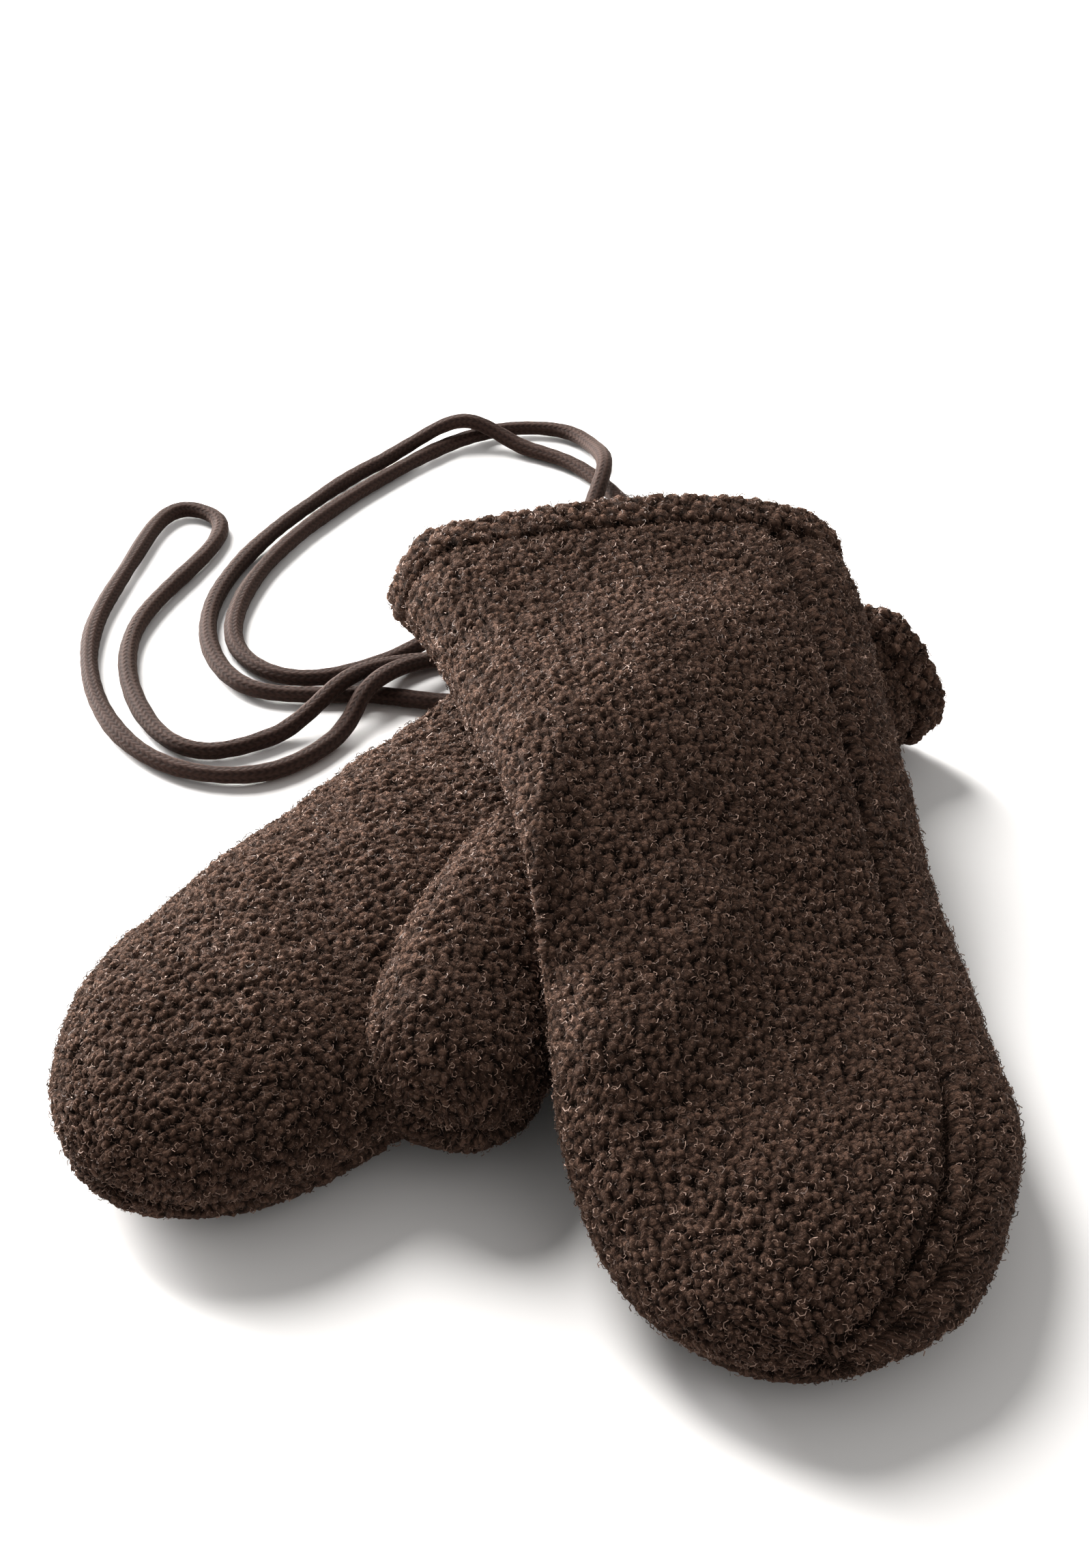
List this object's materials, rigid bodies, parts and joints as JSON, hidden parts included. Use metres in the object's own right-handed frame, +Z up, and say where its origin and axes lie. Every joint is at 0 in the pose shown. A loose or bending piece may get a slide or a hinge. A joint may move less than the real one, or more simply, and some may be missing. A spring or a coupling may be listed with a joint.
{
  "type": "pair of mittens",
  "caption": "Pair of curly boucle pile mittens with turned cuffs, lying crossed and joined by one knitted cord that runs in loops beside them.",
  "frame": {"origin": "on the surface the pair lies on, under the middle of the two mittens without the cord", "axes": "+Z up from the surface. The fingertips point towards -Y, the side the picture was taken from, and the cord lies on the -X +Y side."},
  "size_m": [0.1931, 0.3321, 0.058],
  "materials": {
    "pile": "curly matt pile",
    "cord": "smooth fine knit"
  },
  "bodies": {
    "root": {"lower_back": "pile", "lower_palm": "pile", "lower_hem": "pile", "lower_thumb_outer": "pile", "lower_thumb_inner": "pile", "upper_back": "pile", "upper_palm": "pile", "upper_hem": "pile", "upper_thumb_outer": "pile", "upper_thumb_inner": "pile", "cord": "cord"}
  },
  "joints": []
}
